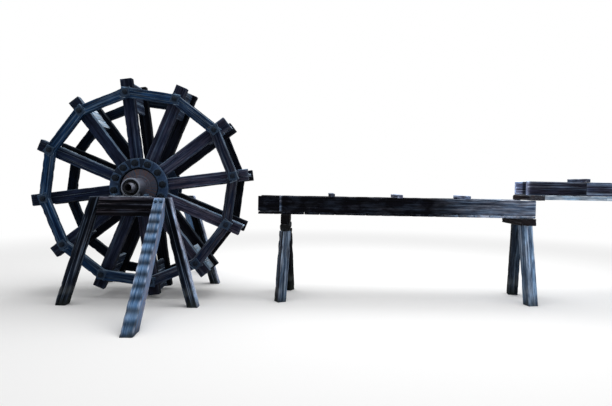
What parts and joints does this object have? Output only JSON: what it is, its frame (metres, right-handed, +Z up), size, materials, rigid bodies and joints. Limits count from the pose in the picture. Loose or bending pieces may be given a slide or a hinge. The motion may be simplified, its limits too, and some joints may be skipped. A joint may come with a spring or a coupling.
{
  "type": "watermill",
  "caption": "Timber watermill: a spoked wheel with radial paddles on a braced stand, fed from the side by two raised plank flumes on trestles.",
  "frame": {"origin": "middle of the underside of the bounding box, on the ground", "axes": "+X along the flume away from the wheel, +Y along the axle away from the viewer, +Z up"},
  "size_m": [9.72, 4.3028, 2.827],
  "materials": {
    "wheel_timber": "rough, wet, weathered",
    "stand_timber": "rough, weathered",
    "flume_timber": "rough, weathered",
    "pale_timber": "silvered, weathered",
    "rusty_steel": "rusted",
    "dark_steel": "matt, oxidised",
    "bearing_iron": "matt, oxidised",
    "bolt_steel": "matt, oxidised"
  },
  "bodies": {
    "stand_and_flume": {"back_beam": "stand_timber", "back_bearing_housing": "bearing_iron", "back_brace": "pale_timber", "back_left_leg": "stand_timber", "back_right_leg": "stand_timber", "back_stand_bolts": "bolt_steel", "end_trestle_cap": "pale_timber", "end_trestle_posts": "pale_timber", "front_beam": "stand_timber", "front_bearing_housing": "bearing_iron", "front_brace": "pale_timber", "front_left_leg": "stand_timber", "front_right_leg": "stand_timber", "front_stand_bolts": "bolt_steel", "lower_flume_back_boards": "flume_timber", "lower_flume_floor": "flume_timber", "lower_flume_front_boards": "flume_timber", "lower_flume_ties": "flume_timber", "middle_trestle_cap": "pale_timber", "middle_trestle_posts": "pale_timber", "mouth_trestle_head": "flume_timber", "mouth_trestle_posts": "flume_timber", "mouth_trestle_rail": "flume_timber", "upper_flume_back_boards": "pale_timber", "upper_flume_bearer": "pale_timber", "upper_flume_floor": "pale_timber", "upper_flume_front_boards": "pale_timber", "upper_flume_ties": "pale_timber"},
    "wheel": {"axle": "rusty_steel", "back_hub_bolts": "bolt_steel", "back_hub_disc": "rusty_steel", "back_hub_plate": "dark_steel", "back_hub_ring": "dark_steel", "back_rim": "wheel_timber", "back_rim_bolts": "bolt_steel", "back_spokes": "wheel_timber", "front_hub_bolts": "bolt_steel", "front_hub_disc": "rusty_steel", "front_hub_plate": "dark_steel", "front_hub_ring": "dark_steel", "front_rim": "wheel_timber", "front_rim_bolts": "bolt_steel", "front_spokes": "wheel_timber", "hub_drum": "rusty_steel", "paddles": "wheel_timber"}
  },
  "joints": [
    {"name": "wheel_spin", "type": "hinge", "parent": "stand_and_flume", "child": "wheel", "pos_m": [-3.46302, 0, 1.43], "axis": [0, 1, 0], "continuous": true}
  ]
}
